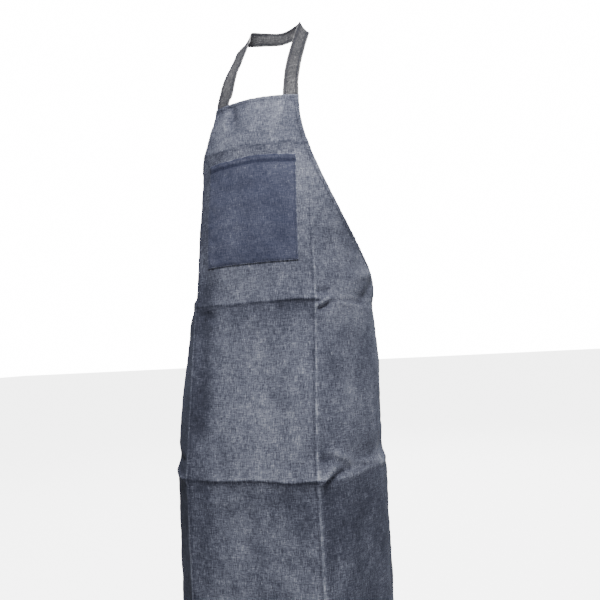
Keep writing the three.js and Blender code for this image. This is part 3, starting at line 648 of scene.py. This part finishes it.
def through(points, steps):
    """A centripetal Catmull-Rom curve through the points, read at steps + 1 even parameters."""
    points = np.asarray(points, float)
    padded = np.concatenate([[2 * points[0] - points[1]], points, [2 * points[-1] - points[-2]]])
    made = []
    for place in np.linspace(0, len(points) - 1, steps + 1):
        i = min(int(place), len(points) - 2)
        p = padded[i:i + 4]
        gaps = np.maximum(np.linalg.norm(np.diff(p, axis=0), axis=1), 1e-6) ** 0.5
        t = np.concatenate([[0], np.cumsum(gaps)])
        at = t[1] + (place - i) * (t[2] - t[1])
        a = [((t[k + 1] - at) * p[k] + (at - t[k]) * p[k + 1]) / (t[k + 1] - t[k]) for k in range(3)]
        b = [((t[k + 2] - at) * a[k] + (at - t[k]) * a[k + 1]) / (t[k + 2] - t[k]) for k in range(2)]
        made.append(((t[2] - at) * b[0] + (at - t[1]) * b[1]) / (t[2] - t[1]))
    return np.array(made)


def tape_frame(centres, facing):
    along = unit(np.gradient(centres, axis=0))
    across = unit(facing - (facing * along).sum(-1, keepdims=True) * along)
    return along, across, unit(np.cross(along, across))


def make_tape(name, centres, facing, width, thickness, material, cup, seed):
    """A folded strip of cloth along centres. facing is its direction across, and cup bows its section."""
    _, across, outward = tape_frame(centres, facing)
    width = np.broadcast_to(width, len(centres))
    run = run_along(centres)
    places = np.sort(np.concatenate([np.linspace(-0.82, 0.82, 11), [-1, -0.96, -0.9, 0.9, 0.96, 1]]))
    off = places[None, :] * width[:, None] / 2
    down = np.broadcast_to(run[:, None], off.shape)
    inset = (1 - np.abs(places))[None, :] * width[:, None] / 2
    full = 1 + 0.30 * bell(inset - 0.0030, 0.0022) - 0.25 * bell(inset - TAPE_SEAM, 0.0014)
    half = rounded(inset, thickness * full)
    wear_and_highlight = ripple(off, down, 0.020, seed + 60)
    bow = cup * (places[None, :] ** 2 - 0.4) + 0.00035 * ripple(off, down, 0.030, seed, 1.4)
    bow = bow + 0.00025 * ripple(off, down, 0.010, seed + 5) * bell(inset, 0.006)
    middle = centres[:, None] + off[..., None] * across[:, None] + bow[..., None] * outward[:, None]
    front = middle + half[..., None] * outward[:, None]
    back = middle - half[..., None] * outward[:, None]
    open_width = smooth(0.004, 0.014, width)[:, None]
    # Pale edges: partly wear, partly a painted edge highlight.
    wear_and_painted_light = (0.75 + 0.5 * wear_and_highlight) * 0.75 * (1 - smooth(0.0004, 0.0022, inset)) * open_width
    wear_and_painted_light = wear_and_painted_light - 0.40 * bell(inset - TAPE_SEAM, 0.0018)
    return closed_sheet(name, front, back, flat_places(off + 0.3 * seed, down), wear_and_painted_light, [material])


def sewn_strap_route():
    """Centres and directions across of the left strap behind the bib, from its end up to the seam."""
    depth = HEM_CLOTH + LAY_GAP + STRAP_THICKNESS / 2 + STRAP_CLEAR
    drops, step = np.array([1.0, 0.75, 0.5, 0.25, 0.06]) * STRAP_SEWN, 0.001
    facing = on_cloth(STRAP_SIDE + step, drops, -depth) - on_cloth(STRAP_SIDE - step, drops, -depth)
    return on_cloth(STRAP_SIDE, drops, -depth), unit(facing)


def strap_route():
    """The neck strap from its left sewn end, over the shoulder and round the nape, to its right one."""
    sewn_at, sewn_across = sewn_strap_route()
    top, _ = body(STRAP_SIDE, 0.0)
    seam = np.array([top[0] - 0.0015, top[1] + 0.0062, SEAM_RISE - BIB_FALL])
    free = [
        (seam, sewn_across[-1]),
        (seam + (-0.002, 0.011, 0.024), (1, 0.05, -0.02)),
        ((NECK_HALF + 0.002, -0.165, -0.166), (1, 0.15, -0.1)),
        ((NECK_HALF + 0.001, -0.116, -0.098), (1, 0.1, -0.3)),
        ((NECK_HALF + 0.001, -0.076, -0.045), (0.9, 0, -0.6)),
        ((NECK_HALF - 0.003, -0.044, -0.012), (0.55, 0.1, -0.9)),
        ((NECK_HALF - 0.025, -0.016, 0.0), (0.15, 0.1, -1)),
    ]
    half = np.concatenate([sewn_at, [at for at, _ in free]])
    facing = unit(np.concatenate([sewn_across, [across for _, across in free]]))
    flip = np.array([-1, 1, 1])
    nape = np.array([[0, -STRAP_THICKNESS / 2, 0]])
    centres = np.concatenate([half, nape, (half * flip)[::-1]])
    across = np.concatenate([facing, [[0, 0, -1]], (facing * flip)[::-1]])
    return centres, across


def make_neck_strap(material, thread):
    route, facing = strap_route()
    centres, across = through(route, 420), unit(through(facing, 420))
    thickness = STRAP_THICKNESS * 0.85
    strap = make_tape("neck_strap_tape", centres, across, STRAP_WIDTH, thickness, material, 0.0004, 3)
    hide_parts("neck_strap", "strap_end_left", "strap_end_right")
    _, wide, outward = tape_frame(centres, across)
    rows = []
    for edge, face in ((-1, -1), (-1, 1), (1, -1), (1, 1)):
        line = centres + edge * (STRAP_WIDTH / 2 - TAPE_SEAM) * wide + thickness / 2 * face * outward
        at, along = spaced(np.concatenate([line, outward * face], 1), STITCH_PITCH)
        rows.append((at[:, :3], along[:, :3], at[:, 3:]))
    threads = [np.concatenate(part) for part in zip(*rows)]
    stitches = make_stitches("neck_strap_stitches", *threads, thread)
    hinge = frame["joints"][0]["pos_m"]
    for piece in (strap, stitches):
        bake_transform(piece, "neck_strap", "apron", start=(0, hinge[1], -BIB_FALL + 0.024),
                 end=(0, hinge[1], -BIB_FALL + 0.001))


# ---- Waist ties, bow and tails ---------------------------------------
DOWN = (0, 0, -1)
TIE_TAPE = TIE_THICKNESS * 0.8


def back_of_waist():
    """How far back the ties cross, in the row frame."""
    corners = [body(hand * HALF_PANEL, TIE_DROP)[0][1] for hand, _ in HANDS]
    return max(corners) + TIE_SETBACK


def knot_place():
    return np.array([0, back_of_waist() + KNOT_DEEP / 2, -BIB_FALL - TIE_DROP])


def make_waist_tie(hand, word, material):
    knot = knot_place()
    depth = HEM_CLOTH + 2 * LAY_GAP + TIE_THICKNESS / 2 + TIE_CLEAR
    shares = np.array([1, 0.75, 0.5, 0.25, 0])
    sides = hand * (HALF_PANEL - TIE_SEWN * shares)
    upper = on_cloth(sides, TIE_DROP - TIE_WIDTH / 2, -depth)
    lower = on_cloth(sides, TIE_DROP + TIE_WIDTH / 2, -depth)
    sewn = (upper + lower) / 2
    corner, level_z = sewn[-1], knot[2]
    free = np.array([
        (corner[0] - hand * 0.010, corner[1] + 0.024, level_z),
        (corner[0] * 0.76, back_of_waist() - 0.007, level_z),
        (corner[0] * 0.42, knot[1] - KNOT_DEEP / 4 - 0.002, level_z - 0.001),
        (hand * (KNOT_ACROSS / 2 - 0.001), knot[1] - KNOT_DEEP / 4, level_z),
    ])
    centres = through(np.concatenate([sewn, free]), 150)
    facing = unit(through(np.concatenate([unit(lower - upper), np.tile(DOWN, (4, 1))]), 150))
    share = np.linspace(0, 1, 151)
    width = TIE_WIDTH * (1 - 0.36 * smooth(0.86, 1.0, share))
    tie = make_tape(f"tie_tape_{word}", centres, facing, width, TIE_TAPE, material, 0.0005, 12 + hand)
    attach(tie, "apron")
    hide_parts(f"waist_tie_{word}")


def make_bow_loop(hand, word, material):
    knot = knot_place()
    start, near = KNOT_ACROSS / 2 - 0.001, KNOT_DEEP / 8
    route = np.array([
        (start, near, -0.001), (BOW_REACH * 0.5, 0.004, -0.004), (BOW_REACH * 0.85, 0.006, -0.012),
        (BOW_REACH, 0.013, -0.016), (BOW_REACH * 0.85, 0.020, -0.014), (BOW_REACH * 0.5, 0.017, -0.007),
        (start, near + 0.005, -0.001),
    ])
    centres = knot + through(route, 130) * (hand, 1, 1)
    share = np.linspace(0, 1, 131)
    lean = np.stack([0.10 * np.sin(share * math.tau), 0.16 * np.sin(share * math.pi), -np.ones(131)], -1)
    width = TIE_WIDTH * (0.60 + 0.40 * smooth(0, 0.22, share) * (1 - smooth(0.78, 1, share)))
    facing = unit(lean * (hand, 1, 1))
    loop = make_tape(f"bow_loop_tape_{word}", centres, facing, width, TIE_TAPE, material, 0.0011, 16 + hand)
    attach(loop, "apron")
    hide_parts(f"bow_loop_{word}")


def make_knot(material):
    """A pulled knot: a gathered bundle of tape with one turn wrapped over it."""
    knot = knot_place()
    around, down = np.meshgrid(np.linspace(0, math.tau, 72), np.linspace(-1, 1, 44))
    height = np.sin(down * math.pi / 2)
    wide = np.maximum(1 - np.abs(height) ** 3, 0.03) ** 0.4
    fold = 1 + 0.07 * np.sin(around * 7 + down * 2.2) * wide + 0.04 * np.sin(around * 4 - down * 3)
    waist = 1 - 0.12 * bell(down, 0.35)
    shell = np.stack([
        KNOT_ACROSS / 2 * 0.94 * wide * fold * np.cos(around) * waist,
        KNOT_DEEP / 2 * 0.88 * wide * fold * np.sin(around),
        -KNOT_HIGH / 2 * 0.97 * height,
    ], -1) + knot
    places = flat_places(around * 0.006, down * 0.016)
    bundle = make_ring_surface("knot_bundle", shell[:, :-1], places[:, :-1], material)
    turn = np.linspace(-0.12, math.tau + 0.10, 90)
    spread = 1 + 0.05 * turn / math.tau
    loop = np.stack([0.0012 * np.sin(turn), KNOT_DEEP / 2 * 0.93 * spread * np.cos(turn),
                     KNOT_HIGH / 2 * 0.86 * spread * np.sin(turn)], -1) + knot
    facing = np.tile((1.0, 0, 0), (90, 1))
    wrap = make_tape("knot_wrap", loop, facing, 0.0150, 0.0013, material, -0.0008, 8)
    for piece in (bundle, wrap):
        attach(piece, "apron")
    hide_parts("bow_knot")


def make_ring_surface(name, rings, places, material):
    """A closed surface through rings of points, capped at both ends."""
    rows, cols = rings.shape[:2]
    grid = np.arange(rows * cols).reshape(rows, cols)
    a, b = grid[:-1], grid[1:]
    face = np.stack([a, b, np.roll(b, -1, 1), np.roll(a, -1, 1)], -1).reshape(-1, 4)
    poles = np.array([rings[0].mean(0), rings[-1].mean(0)])
    top, foot = rows * cols, rows * cols + 1
    caps = [(top, int(i), int(j)) for i, j in zip(grid[0], np.roll(grid[0], -1))]
    caps += [(int(i), foot, int(j)) for i, j in zip(grid[-1], np.roll(grid[-1], -1))]
    points = np.concatenate([rings.reshape(-1, 3), poles])
    flat = np.concatenate([places.reshape(-1, 3), places[0, :1], places[-1, :1]])
    return make_cloth(name, points, face.tolist() + caps, [material], flat, np.zeros(len(points)))


def make_tail(hand, word, material):
    pivot = knot_place() + (hand * KNOT_ACROSS / 4, hand * TAIL_LAYER, -KNOT_HIGH / 2 - SWING_GAP)
    gathered_over, gathered_to = 0.026, 0.22  # the tail's top is drawn in to this share of its width
    share = np.linspace(0, 1, 110)
    along = share * TAIL_LENGTH
    sway = 0.004 * np.sin(share * math.pi * 1.5)
    centres = pivot + np.stack([hand * along * math.sin(TAIL_SPLAY), sway, -along * math.cos(TAIL_SPLAY)], -1)
    twist = 0.30 * np.sin(share * math.pi * 1.2 + hand)
    facing = np.stack([np.cos(twist), np.sin(twist) * 0.5, 0 * twist], -1)
    width = TIE_WIDTH * (gathered_to + (1 - gathered_to) * smooth(0, gathered_over, along))
    tail = make_tape(f"tail_tape_{word}", centres, facing, width, TIE_TAPE, material, 0.0009, 20 + hand)
    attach(tail, f"tie_tail_{word}")
    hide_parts(f"tie_tail_{word}")


# ---- Materials -------------------------------------------------------
class Shader:
    """A material's node tree, with short calls for the nodes that cloth needs."""

    def __init__(self, name):
        self.material = bpy.data.materials.new(name)
        self.material.use_nodes = True
        self.tree = self.material.node_tree
        self.surface = self.tree.nodes["Principled BSDF"]

    def node(self, kind, inputs=(), **settings):
        made = self.tree.nodes.new(kind)
        for key, value in settings.items():
            setattr(made, key, value)
        for key, value in dict(inputs).items():
            if isinstance(value, bpy.types.NodeSocket):
                self.tree.links.new(value, made.inputs[key])
            else:
                made.inputs[key].default_value = value
        return made

    def value(self, attribute):
        return self.node("ShaderNodeAttribute", attribute_name=attribute).outputs["Fac"]

    def place(self, attribute):
        return self.node("ShaderNodeAttribute", attribute_name=attribute).outputs["Vector"]

    def math(self, operation, a, b=0.0, c=0.0):
        return self.node("ShaderNodeMath", {0: a, 1: b, 2: c}, operation=operation).outputs[0]

    def noise(self, place, across, down, detail, roughness, shift=0.0):
        """Noise with grains about across by down, in metres on the cloth."""
        scale, kind = (1 / across, 1 / down, 1.0), "ShaderNodeVectorMath"
        scaled = self.node(kind, {0: place, 1: scale}, operation="MULTIPLY").outputs[0]
        moved = self.node(kind, {0: scaled, 1: (shift, shift, shift)}, operation="ADD").outputs[0]
        settings = {"Vector": moved, "Scale": 1.0, "Detail": detail, "Roughness": roughness}
        return self.node("ShaderNodeTexNoise", settings).outputs[0]

    def weigh(self, parts, start=0.0):
        """start plus each (value, weight)."""
        total = start
        for value, weight in parts:
            total = self.math("MULTIPLY_ADD", value, weight, total)
        return total

    def ramp(self, value, stops):
        made = self.node("ShaderNodeValToRGB", {"Fac": value})
        while len(made.color_ramp.elements) < len(stops):
            made.color_ramp.elements.new(0.5)
        for element, (place, colour) in zip(made.color_ramp.elements, stops):
            element.position = place
            element.color = (*colour, 1)
        return made.outputs[0]

    def bump(self, height, distance, strength):
        made = self.node("ShaderNodeBump", {"Height": height, "Distance": distance, "Strength": strength})
        return made.outputs[0]


def cloth_material(name, stops, slub=1.0, cloudy=1.0, painted_light_and_wear_weight=0.30):
    """Woven cotton: dark warp crossed by pale weft, with slubs, clouds, worn ridges and edges, and the
    painted light and shade that the cloth carries.
    """
    shader = Shader(name)
    place, wear_and_painted_light = shader.place("flat"), shader.value("wear_and_painted_light")
    warp = shader.noise(place, 0.0012, 0.014, 3, 0.62)
    weft = shader.noise(place, 0.0100, 0.0012, 3, 0.62, 7.3)
    threads = shader.noise(place, 0.00055, 0.0035, 2, 0.5, 3.1)
    cross_threads = shader.noise(place, 0.0035, 0.00055, 2, 0.5, 5.9)
    blotch = shader.noise(place, 0.020, 0.028, 3, 0.6, 11.7)
    cloud = shader.noise(place, 0.085, 0.120, 2, 0.5, 17.1)
    # The tone is moved by the cloth's wear and by its painted light and shade.
    tone = shader.weigh([
        (warp, 0.92 * slub), (weft, 0.68 * slub), (threads, 0.52), (cross_threads, 0.44),
        (blotch, 0.26 * cloudy), (cloud, 0.50 * cloudy), (wear_and_painted_light, painted_light_and_wear_weight),
    ], 0.5 - 0.5 * (1.60 * slub + 0.96 + 0.76 * cloudy))
    colour = shader.ramp(tone, stops)
    weave = shader.weigh([(threads, 0.5), (cross_threads, 0.5), (warp, 0.5 * slub), (weft, 0.4 * slub)])
    normal = shader.bump(weave, 0.0009, 0.55)
    rough = shader.weigh([(threads, 0.10), (blotch, 0.08)], 0.80)
    links = shader.tree.links
    links.new(colour, shader.surface.inputs["Base Color"])
    links.new(rough, shader.surface.inputs["Roughness"])
    links.new(normal, shader.surface.inputs["Normal"])
    shader.surface.inputs["Specular IOR Level"].default_value = 0.10
    shader.surface.inputs["Sheen Weight"].default_value = 0.04
    shader.surface.inputs["Sheen Tint"].default_value = (0.55, 0.66, 1.0, 1)
    shader.surface.inputs["Sheen Roughness"].default_value = 0.5
    return shader.material


def thread_material():
    shader = Shader("navy_thread")
    place = shader.node("ShaderNodeTexCoord").outputs["Object"]
    strand = shader.node("ShaderNodeTexNoise", {"Vector": place, "Scale": 900.0, "Detail": 2.0}).outputs[0]
    colour = shader.ramp(strand, ((0.3, (0.010, 0.014, 0.035)), (0.7, (0.030, 0.037, 0.070))))
    shader.tree.links.new(colour, shader.surface.inputs["Base Color"])
    shader.tree.links.new(shader.weigh([(strand, 0.2)], 0.5), shader.surface.inputs["Roughness"])
    shader.tree.links.new(shader.bump(strand, 0.0002, 0.5), shader.surface.inputs["Normal"])
    shader.surface.inputs["Sheen Weight"].default_value = 0.1
    return shader.material


# ---- Floor, light and camera -----------------------------------------
BACKDROP, AMBIENT = 16.0, 0.10  # the world's strength as it is seen, and as it lights
FLOOR_GLOW, FLOOR_HEIGHT, FLOOR_REACH = 5.0, -1.52, 30.0
# Name, place, what it points at, size and power.
LIGHTS = (
    ("key", (0.62, -1.45, 1.36), (0, -0.25, -0.50), 0.7, 112),
    ("back", (0.2, 2.6, 1.0), (0, 0, -0.6), 2.0, 105),
    ("side", (-2.8, 0.6, 0.4), (0, 0, -0.6), 1.6, 22),
)
# The camera was fitted to the creases, the pocket and the edges in the photo.
CAMERA_AT, CAMERA_LENS = (0.3607, -1.1756, -0.7549), 31.865
CAMERA_RIGHT, CAMERA_UP = (0.95515, 0.29111, -0.05427), (0.07907, -0.07410, 0.99411)


def floor_material():
    """A matt pale floor whose glow only the camera sees, so it stays pale without lighting the cloth."""
    shader = Shader("pale_floor")
    shader.surface.inputs["Base Color"].default_value = (0.80, 0.80, 0.80, 1)
    shader.surface.inputs["Roughness"].default_value = 0.9
    shader.surface.inputs["Emission Color"].default_value = (1, 1, 1, 1)
    seen = shader.node("ShaderNodeLightPath").outputs["Is Camera Ray"]
    glow = shader.math("MULTIPLY", seen, FLOOR_GLOW)
    shader.tree.links.new(glow, shader.surface.inputs["Emission Strength"])
    return shader.material


def make_floor():
    reach, z = FLOOR_REACH, FLOOR_HEIGHT
    corners = [(-reach, -reach, z), (reach, -reach, z), (reach, reach, z), (-reach, reach, z)]
    make_object("studio_floor", corners, [(0, 1, 2, 3)], [floor_material()])


def make_world():
    """A white world, bright to the camera and dim as light."""
    world = bpy.data.worlds.new("studio")
    world.use_nodes = True
    tree = world.node_tree
    seen = tree.nodes.new("ShaderNodeLightPath").outputs["Is Camera Ray"]
    strength = tree.nodes.new("ShaderNodeMath")
    strength.operation = "MULTIPLY_ADD"
    tree.links.new(seen, strength.inputs[0])
    strength.inputs[1].default_value = BACKDROP - AMBIENT
    strength.inputs[2].default_value = AMBIENT
    background = tree.nodes["Background"]
    background.inputs["Color"].default_value = (1, 1, 1, 1)
    tree.links.new(strength.outputs[0], background.inputs["Strength"])
    bpy.context.scene.world = world


def turned(right, up, back, at):
    """A placing matrix from an object's own three directions and its place."""
    return Matrix(np.vstack([np.stack([right, up, back, at], 1), (0, 0, 0, 1)]).tolist())


def area_light(name, at, target, size, power):
    light = bpy.data.lights.new(name, "AREA")
    light.size, light.energy = size, power
    back = unit(np.array(at, float) - np.array(target, float))
    right = unit(np.cross((0, 0, 1), back))
    add_object(name, light).matrix_world = turned(right, np.cross(back, right), back, at)


def make_camera():
    """A camera at hip height, near the apron, a little to the wearer's left and looking slightly up."""
    data = bpy.data.cameras.new("camera")
    data.sensor_width, data.lens = 36, CAMERA_LENS
    camera = add_object("camera", data)
    camera.matrix_world = turned(CAMERA_RIGHT, CAMERA_UP, np.cross(CAMERA_RIGHT, CAMERA_UP), CAMERA_AT)
    bpy.context.scene.camera = camera


def make_studio():
    make_floor()
    make_world()
    for light in LIGHTS:
        area_light(*light)


# ---- The apron -------------------------------------------------------
# Colour stops: place on the tone's scale, and colour.
DENIM = ((0.0, (0.012, 0.013, 0.020)), (0.35, (0.046, 0.050, 0.073)), (0.62, (0.150, 0.160, 0.206)),
         (1.0, (0.50, 0.52, 0.58)))
POCKET_DENIM = ((0.0, (0.009, 0.010, 0.026)), (0.38, (0.034, 0.039, 0.070)), (0.68, (0.092, 0.099, 0.145)),
                (1.0, (0.40, 0.42, 0.48)))
INSIDE = ((0.0, (0.09, 0.10, 0.14)), (0.40, (0.24, 0.26, 0.31)), (0.70, (0.42, 0.44, 0.48)),
          (1.0, (0.68, 0.69, 0.71)))
TAPE = ((0.0, (0.010, 0.010, 0.014)), (0.40, (0.045, 0.045, 0.050)), (0.68, (0.118, 0.117, 0.122)),
        (1.0, (0.46, 0.45, 0.45)))


def make_apron():
    denim = cloth_material("denim", DENIM)
    inside = cloth_material("denim_inside", INSIDE, slub=0.9, cloudy=0.6, painted_light_and_wear_weight=0.06)
    patch = cloth_material("pocket_denim", POCKET_DENIM, slub=0.85, cloudy=0.7, painted_light_and_wear_weight=0.34)
    tape = cloth_material("tape_denim", TAPE, slub=1.15, cloudy=0.9, painted_light_and_wear_weight=0.55)
    thread = thread_material()
    panel = make_panel([denim, inside])
    pocket = make_pocket(patch)
    for piece, node, slot in ((panel, "body_panel", "denim"), (pocket, "pocket", "pocket_denim")):
        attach(piece, "apron")
        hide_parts(node)
    sew_middle(thread)
    for hand, word in HANDS:
        sew_side(hand, word, thread)
    make_neck_strap(tape, thread)
    make_knot(tape)
    for hand, word in HANDS:
        make_waist_tie(hand, word, tape)
        make_bow_loop(hand, word, tape)
        make_tail(hand, word, tape)


make_camera()
make_studio()
make_apron()
